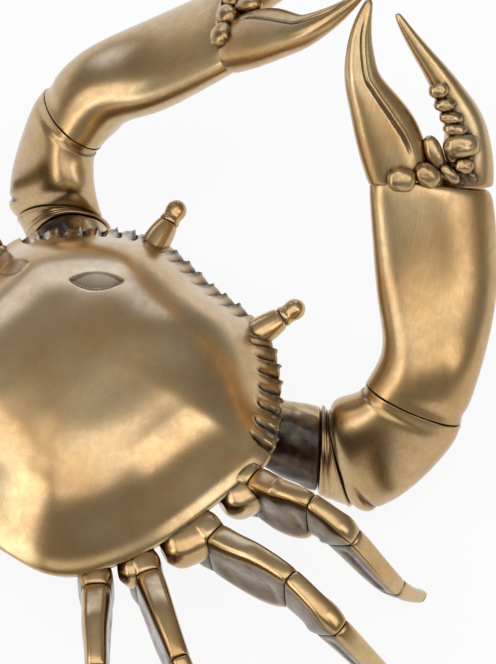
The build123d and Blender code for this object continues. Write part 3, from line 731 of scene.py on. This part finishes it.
# Shell
shell = {
    "width": 143.0, "length": 141.0, "dome": 34.0, "lip": 5.0, "wall": 4.0, "ceiling": 3.2, "belly": 27.0,
    # shares of the width and length, from the middle of the front
    "outline": ((0, 0), (0.22, -0.004), (0.385, -0.12), (0.497, -0.275), (0.498, -0.426), (0.465, -0.702),
                (0.36, -0.925), (0.2, -0.992), (0, -1)),
    # shares of the outline and of the dome's height, and the stretches in which the curve through them
    # is cut: start, stop and stride in rows
    "contours": ((1, 0), (0.985, 0.06), (0.93, 0.15), (0.87, 0.3), (0.78, 0.52), (0.67, 0.72), (0.54, 0.86),
                 (0.4, 0.945), (0.26, 0.985), (0.12, 0.998), (0.02, 1)),
    "contourStrides": ((0, 5.5, 0.5), (5.5, 7.5, 0.25), (7.5, 10.01, 0.5)),
    # the lip's foot, from inside to outside: share of the outline, mm up and mm in
    "foot": ((0.965, 0.4, 4.0), (0.965, 0, 3.4), (0.965, 0, 0.6), (0.972, 0.8, 0)),
    "bellyGap": 0.2, "bellyTop": 0.9, "bellyPatina": 0.35,
    "bellyContours": ((0.945, 0), (0.94, 0.25), (0.86, 0.62), (0.7, 0.9), (0.54, 1)),
    "rimPoints": 1000,      # to either side
    # lobes: lengths along the rim in mm, six between the eyes and seven behind each eye
    "frontLobe": 7.1, "sideLobes": (7.0, 6.9, 7.4, 8.0, 8.6, 8.6, 8.2), "sideStart": (33.0, -2.5),
    "lobeBand": 11.0, "lobeRound": 0.25, "lobeFull": 0.7, "lobeRise": 1.0, "lobeFall": 2.4,
    "lobeFoot": (4.5, 2.5), "lobeFacing": (-0.5, 0.0), "frontStrength": 0.65,
    # shares of a lobe: its raised edge and the pocket behind it; then mm out in its middle and in at its ends
    "lobeEdge": 0.07, "pocket": (0.35, 0.97), "pocketCurve": 1.5, "scallop": 0.8, "scallopIn": 0.5,
    # mm from the rim where a scallop ends and where it is full, and the same of the soot; painted shade in
    # the pockets by lobe share
    "scallopBand": (-5, -1), "rimSoot": 0.3, "rimSootBand": (-9, -2), "pocketShade": 1.25,
    "shadePocket": (0.6, 0.95),
    # low swellings: mm high, mm from the middle line, spread, mm forward, spread
    "swellings": ((0.6, 0, 18, -46, 24), (0.7, 40, 20, -84, 30)), "reliefStart": (6, 20),
    # furrows before the tail: mm deep, mm from the middle line, lean, half width, mm forward, half length
    "furrow": (0.5, 20, 0.1, 8, -72, 28), "furrowTurn": -70,
    # leaf-shaped hollows: place, half sizes and depth, and the way that they point
    "leaves": ((-20.0, -43.5, 11.5, 5.5, 1.0), (-52.5, -58.0, 7.0, 6.0, 0.8)),
    "leafWay": (0.72, 0.69), "leafTilt": 0.45, "leafEdge": (0, 0.3), "leafPatina": 0.3,
    "leafTarnish": (0.05, 0.25),
}
lipZ = rimZ - shell["lip"]


def outlineAt(t, share=1.0, inset=0.0):
    # the rim, t from 0 to 1 round from the middle of the front by the right side
    points = np.array([(r * shell["width"], f * shell["length"]) for r, f in shell["outline"]])
    points = np.concatenate([points, points[-2:0:-1] * (-1, 1)])
    count = len(points)
    k = int((t % 1.0) * count)
    s = (t % 1.0) * count - k
    a, b, c, d = [points[(k + j - 1) % count] for j in range(4)]
    at = 0.5 * (2 * b + (c - a) * s + (2 * a - 5 * b + 4 * c - d) * s * s + (3 * b - a - 3 * c + d) * s**3)
    middle = np.array((0, -0.5 * shell["length"]))
    return middle + (at - middle) * (share - inset / (shell["width"] / 2))


def contourBody(name, contours, count, levels=2):
    # stacked outlines bridged into one closed body
    bpy.ops.object.select_all(action="DESELECT")
    bpy.ops.mesh.primitive_circle_add(vertices=count, radius=1)
    body = bpy.context.active_object
    body.name = body.data.name = name
    bpy.ops.object.mode_set(mode="EDIT")
    bpy.ops.mesh.select_mode(type="VERT")
    for k in range(1, len(contours)):
        bpy.ops.mesh.primitive_circle_add(vertices=count, radius=1)
    mesh = body.data
    work = bmesh.from_edit_mesh(mesh)
    work.verts.ensure_lookup_table()
    for k, (share, height, inset) in enumerate(contours):
        for j in range(count):
            work.verts[k * count + j].co = place(*outlineAt(j / count, share, inset), height) * mm
    bmesh.update_edit_mesh(mesh)
    for k in range(len(contours) - 1):
        selectVerts(mesh, k * count, (k + 2) * count)
        bpy.ops.mesh.bridge_edge_loops()
    bpy.ops.object.mode_set(mode="OBJECT")
    smooth(body, levels)
    # the two ends are closed with fans once the rest is smooth
    bpy.ops.object.mode_set(mode="EDIT")
    bpy.ops.mesh.select_mode(type="FACE")
    bpy.ops.mesh.select_all(action="SELECT")
    bpy.ops.mesh.fill_holes(sides=0)
    work = bmesh.from_edit_mesh(mesh)
    for face in work.faces:
        face.select = len(face.verts) > 8
    bmesh.update_edit_mesh(mesh)
    bpy.ops.mesh.poke()
    bpy.ops.mesh.select_all(action="SELECT")
    bpy.ops.mesh.normals_make_consistent(inside=False)
    bpy.ops.object.mode_set(mode="OBJECT")
    bpy.ops.object.shade_smooth()
    return body


def shellContours():
    # from the middle of the ceiling down the inside, round the foot of the lip and up the outside
    fine = [valuesAt(shell["contours"], u)[0] for start, stop, stride in shell["contourStrides"]
            for u in np.arange(start, stop, stride)]
    outer = [(share, rimZ + height * shell["dome"], 0) for share, height in fine]
    inner = [(share, rimZ + height * shell["dome"] - shell["ceiling"], shell["wall"])
             for share, height in shell["contours"][3::2]]
    foot = [(share, lipZ + up, inset) for share, up, inset in shell["foot"]]
    return inner[::-1] + foot + outer


def rimTable():
    # half the rim as points, with the way round it in mm from the middle of the front
    count = shell["rimPoints"]
    points = np.array([outlineAt(k / (2 * count)) for k in range(count + 1)])
    travel = np.concatenate([[0], np.cumsum(np.linalg.norm(np.diff(points, axis=0), axis=1))])
    return points, travel


def carveShell(piece):
    spots, normals = vertexArrays(piece)
    right, forward = -spots[:, 0], eyeLineY - spots[:, 1]
    away = np.abs(right)
    points, travel = rimTable()
    flat = np.stack([away, forward], axis=1)
    nearest = np.array([np.argmin(((points - at) ** 2).sum(axis=1)) for at in flat])
    inward = np.linalg.norm(flat - points[nearest], axis=1)
    roundRim = travel[nearest]

    # which lobe a place is in, and its share of the way along that lobe
    start = travel[np.argmin(((points - np.array(shell["sideStart"])) ** 2).sum(axis=1))]
    edges = np.concatenate([[start], start + np.cumsum(shell["sideLobes"])])
    front = 3 * shell["frontLobe"]
    fromMiddle = np.where(right >= 0, roundRim, -roundRim)
    inFront = np.abs(fromMiddle) < front
    inLobe = inFront
    share = np.where(inFront, ((fromMiddle + front) / shell["frontLobe"]) % 1.0, 0)
    for a, b in zip(edges[:-1], edges[1:]):
        inside = (roundRim >= a) & (roundRim < b)
        share = np.where(inside, (roundRim - a) / (b - a), share)
        inLobe = inLobe | inside
    low, high = rimZ - shell["lobeFoot"][0], rimZ - shell["lobeFoot"][1]
    active = inLobe * (step(spots[:, 2], low, high) * step(normals[:, 2], *shell["lobeFacing"]))

    # each lobe starts at a raised edge and falls away into a pocket before the next
    band = shell["lobeBand"] * (1 - shell["lobeRound"] * (2 * share - 1) ** 4)
    fade = step(-inward, -band, -band * shell["lobeFull"])
    edge = bell(share - shell["lobeEdge"], shell["lobeEdge"])
    pocket = step(share, *shell["pocket"]) ** shell["pocketCurve"]
    strength = np.where(inFront, shell["frontStrength"], 1.0)
    move = (shell["lobeRise"] * edge - shell["lobeFall"] * pocket) * fade * active * strength
    scallop = shell["scallop"] * np.sin(np.pi * np.clip(share * 0.9 + 0.1, 0, 1)) - shell["scallopIn"]
    scallop = scallop * step(-inward, *shell["scallopBand"]) * active * strength
    tangent = np.gradient(points, axis=0)[nearest]
    tangent /= np.linalg.norm(tangent, axis=1)[:, None]
    outX = np.where(right >= 0, -1.0, 1.0) * np.abs(tangent[:, 1])
    scallopWay = np.stack([outX, tangent[:, 0], np.zeros(len(spots))], axis=1)

    # soft relief: low swellings of the dome, and a furrow to either side before the tail
    relief = sum(height * bell(away - side, breadth) * bell(forward - at, length)
                 for height, side, breadth, at, length in shell["swellings"])
    deep, side, lean, breadth, at, length = shell["furrow"]
    fromFurrow = away - side - lean * (forward - shell["furrowTurn"])
    relief = relief - deep * bell(fromFurrow, breadth) * bell(forward - at, length)
    upper = (spots[:, 2] > rimZ - 1) * (normals[:, 2] > 0)
    move = move + relief * upper * step(inward, *shell["reliefStart"])

    # leaf-shaped hollows pressed into the front left of the dome, sharp at the edge
    wayR, wayF = shell["leafWay"]
    tarnish = np.zeros(len(spots))
    for middleR, middleF, long, broad, deep in shell["leaves"]:
        lengthwise = ((right - middleR) * wayR + (forward - middleF) * wayF) / long
        crosswise = ((right - middleR) * wayF - (forward - middleF) * wayR) / broad
        leaf = 1 - lengthwise * lengthwise - np.abs(crosswise)
        reached = upper * (np.abs(lengthwise) < 1)
        floorTilt = 1 - shell["leafTilt"] + shell["leafTilt"] * crosswise
        move = move - deep * floorTilt * step(leaf, *shell["leafEdge"]) * reached
        tarnish = tarnish + shell["leafPatina"] * step(leaf, *shell["leafTarnish"]) * reached
    setVertices(piece, spots + normals * move[:, None] + scallopWay * scallop[:, None])
    # painted shade in the pockets, and soot along the foot of each raised edge
    pocketShade = shell["pocketShade"] * step(share, *shell["shadePocket"]) * fade
    rimSoot = shell["rimSoot"] * step(-inward, *shell["rimSootBand"])
    extraPatinaAndShade[piece.name] = (pocketShade + rimSoot) * active + tarnish


carapace = contourBody("carapaceShell", shellContours(), count=176)
carveShell(carapace)
finish(carapace, "carapace", shellBrass)

bellyZ = lipZ - shell["bellyGap"]
bellyRings = [(shell["bellyTop"], bellyZ, 0)]
bellyRings += [(share, bellyZ - depth * shell["belly"], 0) for share, depth in shell["bellyContours"]]
belly = contourBody("bellyShell", bellyRings, count=96)
extraPatinaAndShade[belly.name] = np.full(len(belly.data.vertices), shell["bellyPatina"])
finish(belly, "belly_shell", castBrass)
print("shell pieces", len(allPieces))


# Patina: in hollows, along seams and where pieces meet, added to the patina and painted shade from the
# carving
wear = {
    "bend": 2.4,           # patina for a hollow bend, per unit of curvature
    "range": (-0.3, 1),    # least and most
    "spread": 3,           # rounds in which it creeps to the next vertices
    "keep": 0.85,          # its share kept in each round
    "reach": 3.0,          # mm to another piece that still counts as near
    "seamWidth": 0.6,      # mm in which a seam's patina fades
    "seam": 0.75,          # patina where two pieces touch, and on the pieces named below
    "seams": {"eye_Right": 0.4, "eye_stalk_Right": 0.5, "claw_wrist_Right": 0.2, "claw_palm_Right": 0.2,
              "carapaceShell": 0.4},
}


def hollowAt(piece, spots, normals):
    # how hollow the surface is at each vertex, from the bend of its edges
    mesh = piece.data
    count = len(mesh.vertices)
    ends = np.empty(len(mesh.edges) * 2, dtype=int)
    mesh.edges.foreach_get("vertices", ends)
    a, b = ends.reshape(-1, 2).T
    steps = spots[b] - spots[a]
    length2 = np.maximum((steps ** 2).sum(axis=1), 1e-6)
    bend = (np.bincount(a, (normals[a] * steps).sum(axis=1) / length2, count)
            + np.bincount(b, -(normals[b] * steps).sum(axis=1) / length2, count))
    degree = np.maximum(np.bincount(a, None, count) + np.bincount(b, None, count), 1)
    hollow = np.clip(bend / degree * wear["bend"], 0, 1)
    for turn in range(wear["spread"]):
        spread = (np.bincount(a, hollow[b], count) + np.bincount(b, hollow[a], count)) / degree
        hollow = np.maximum(hollow * wear["keep"], spread)
    return hollow


def layPatinaAndShade(piece, others):
    spots, normals = vertexArrays(piece)
    value = hollowAt(piece, spots, normals) + extraPatinaAndShade.get(piece.name, 0)
    if piece in (carapace, belly):
        # only the right limbs are made so far, so the left half looks to them too
        spots = np.stack([-np.abs(spots[:, 0]), spots[:, 1], spots[:, 2]], axis=1)
    reach = wear["reach"]
    for tree, low, high in others:
        near = np.all((spots > low - reach) & (spots < high + reach), axis=1)
        for k in np.nonzero(near)[0]:
            distance = tree.find_nearest(Vector(spots[k]) * mm, reach * mm)[3]
            if distance is not None:
                seam = wear["seams"].get(piece.name, wear["seam"])
                value[k] += seam * math.exp(-distance / (wear["seamWidth"] * mm))
    layer = piece.data.attributes.new("patina", "FLOAT", "POINT")
    layer.data.foreach_set("value", np.clip(value, *wear["range"]))


shadedAndAgedPieces = allPieces + bosses + teeth + [shoulder for shoulder, hip in hipShoulders]
trees = {}
for piece in shadedAndAgedPieces:
    mesh = piece.data
    spots = vertexArrays(piece)[0]
    tree = BVHTree.FromPolygons([v.co for v in mesh.vertices], [p.vertices for p in mesh.polygons])
    trees[piece.name] = (tree, spots.min(axis=0), spots.max(axis=0))
for piece in shadedAndAgedPieces:
    low, high = trees[piece.name][1:]
    low, high = low - wear["reach"], high + wear["reach"]
    # a shoulder and its hip are one casting, with no seam between them
    same = [piece.name] + [pair[1 - k].name for pair in hipShoulders for k in (0, 1) if pair[k] is piece]
    layPatinaAndShade(piece, [tree for name, tree in trees.items()
                      if name not in same and np.all(tree[1] < high) and np.all(tree[2] > low)])
print("patina laid")


def joinInto(piece, parts):
    bpy.ops.object.select_all(action="DESELECT")
    for part in [*parts, piece]:
        part.select_set(True)
    bpy.context.view_layer.objects.active = piece
    bpy.ops.object.join()


def mirrorLeft(piece, node, material):
    # a copy with its own mesh, turned over in X
    copy = piece.copy()
    copy.data = piece.data.copy()
    copy.name = copy.data.name = piece.name.replace("Right", "Left")
    bpy.context.collection.objects.link(copy)
    copy.data.transform(Matrix.Scale(-1, 4, Vector((1, 0, 0))))
    copy.data.flip_normals()
    finish(copy, node, material)


for shoulder, hip in hipShoulders:
    joinInto(hip, [shoulder])
joinInto(palm, bosses)
joinInto(fixedFinger, teeth)
for piece, name in ((palm, "palm"), (movingFinger, "moving_finger"), (fixedFinger, "fixed_finger")):
    rightPieces.append((piece, "claw_%s_left" % name, clawBrass, "satin_brass"))
for piece, node, material, slot in rightPieces:
    mirrorLeft(piece, node, material)
print("pieces", len(allPieces), "faces", sum(len(p.data.polygons) for p in allPieces))

# Studio, in metres: matt white paper that stays white for the camera and in reflections
studio = {"floorSize": 8.0, "paper": "#F4F3F1", "paperGlow": 0.9,
          # a grey room round the table, darker above, under a lit ceiling: height and grey
          "bands": ((0.0, 0.45), (0.2, 0.27), (0.55, 0.25), (0.85, 0.36), (1.0, 0.6))}
bpy.ops.object.select_all(action="DESELECT")
bpy.ops.mesh.primitive_plane_add(size=studio["floorSize"], location=(0, 0, 0))
floor = bpy.context.active_object
floor.name = "studioFloor"
paper = bpy.data.materials.new("paper_matt_white")
paper.use_nodes = True
tree = paper.node_tree
tree.nodes.clear()
path = addNode(tree, "LightPath").node.outputs
mirrorRay = addNode(tree, "Math", {
        0: path["Is Glossy Ray"], 1: path["Is Transmission Ray"]}, operation="MAXIMUM")
whiteRay = addNode(tree, "Math", {0: path["Is Camera Ray"], 1: mirrorRay}, operation="MAXIMUM")
matt = addNode(tree, "BsdfDiffuse", {"Color": linearColour(studio["paper"])})
white = addNode(tree, "Emission", {"Strength": 1.0})
glow = addNode(tree, "Math", {0: whiteRay, 1: studio["paperGlow"]}, operation="MULTIPLY")
mixed = addNode(tree, "MixShader", {0: glow, 1: matt, 2: white})
addNode(tree, "OutputMaterial", {"Surface": mixed})
floor.data.materials.append(paper)

world = bpy.data.worlds.new("studio")
bpy.context.scene.world = world
world.use_nodes = True
tree = world.node_tree
tree.nodes.clear()
way = addNode(tree, "TexCoord", out="Generated")
height = addNode(tree, "SeparateXYZ", {"Vector": way}, out="Z")
ramp = addNode(tree, "ValToRGB", {"Fac": height}).node
ramp.color_ramp.elements.remove(ramp.color_ramp.elements[1])
for k, (at, grey) in enumerate(studio["bands"]):
    element = ramp.color_ramp.elements[0] if k == 0 else ramp.color_ramp.elements.new(at)
    element.position = at
    element.color = (grey, grey, grey, 1)
room = addNode(tree, "Background", {"Color": ramp.outputs["Color"], "Strength": 1.0})
addNode(tree, "OutputWorld", {"Surface": room})

# soft lamps, all turned to the shell: place, size, watts and tint
lamps = {
    "overheadBox": ((-0.4, 0.4, 1.5), (1.6, 1.6), 9, "#FFFFFF"),
    "windowBox": ((1.15, -0.85, 0.75), (1.6, 0.8), 7.2, "#C2D6FF"),
    "sideBox": ((0.75, 1.0, 1.1), (0.8, 1.0), 4.2, "#FFFFFF"),
    "edgeBox": ((0.25, 1.4, 0.65), (0.45, 1.0), 3.6, "#FFFFFF"),
    "keyBox": ((-1.2, -0.3, 1.1), (0.5, 0.9), 3, "#FFFFFF"),
}
lampTarget = Vector((0, 0, 0.05))
for name, (spot, size, watts, tint) in lamps.items():
    light = bpy.data.lights.new(name, "AREA")
    light.shape = "RECTANGLE"
    light.size, light.size_y = size
    light.energy = watts
    light.color = linearColour(tint)[:3]
    lamp = bpy.data.objects.new(name, light)
    bpy.context.collection.objects.link(lamp)
    lamp.location = spot
    lamp.rotation_euler = (lampTarget - Vector(spot)).to_track_quat("-Z", "Y").to_euler()
print("studio lit")

# the photograph's camera: degrees, metres, metres to a picture element, and places in the picture
camera = {"azimuth": 224.3, "elevation": 60.0, "distance": 1.2, "pixel": 0.0004,
          "target": (0, -0.03793, 0.05), "targetPixel": (209.0, 287.5), "middle": (248.0, 332.0),
          "focalPixels": 3000.0, "sensor": 36.0, "picture": 664.0, "clip": (0.05, 20)}
turn, tilt = math.radians(camera["azimuth"]), math.radians(camera["elevation"])
back = Vector((math.sin(turn) * math.cos(tilt), -math.cos(turn) * math.cos(tilt), math.sin(tilt)))
sideways = Vector((0, 0, 1)).cross(back).normalized()
upward = back.cross(sideways)
lens = bpy.data.cameras.new("camera")
lens.lens = camera["focalPixels"] * camera["sensor"] / camera["picture"]
lens.sensor_width = camera["sensor"]
lens.clip_start, lens.clip_end = camera["clip"]
viewer = bpy.data.objects.new("camera", lens)
bpy.context.collection.objects.link(viewer)
offsetX, offsetY = [(a - m) * camera["pixel"] for a, m in zip(camera["targetPixel"], camera["middle"])]
viewer.location = Vector(camera["target"]) + back * camera["distance"] - sideways * offsetX + upward * offsetY
viewer.rotation_euler = Matrix((sideways, upward, back)).transposed().to_euler()
bpy.context.scene.camera = viewer
bpy.context.scene.view_settings.view_transform = "Standard"
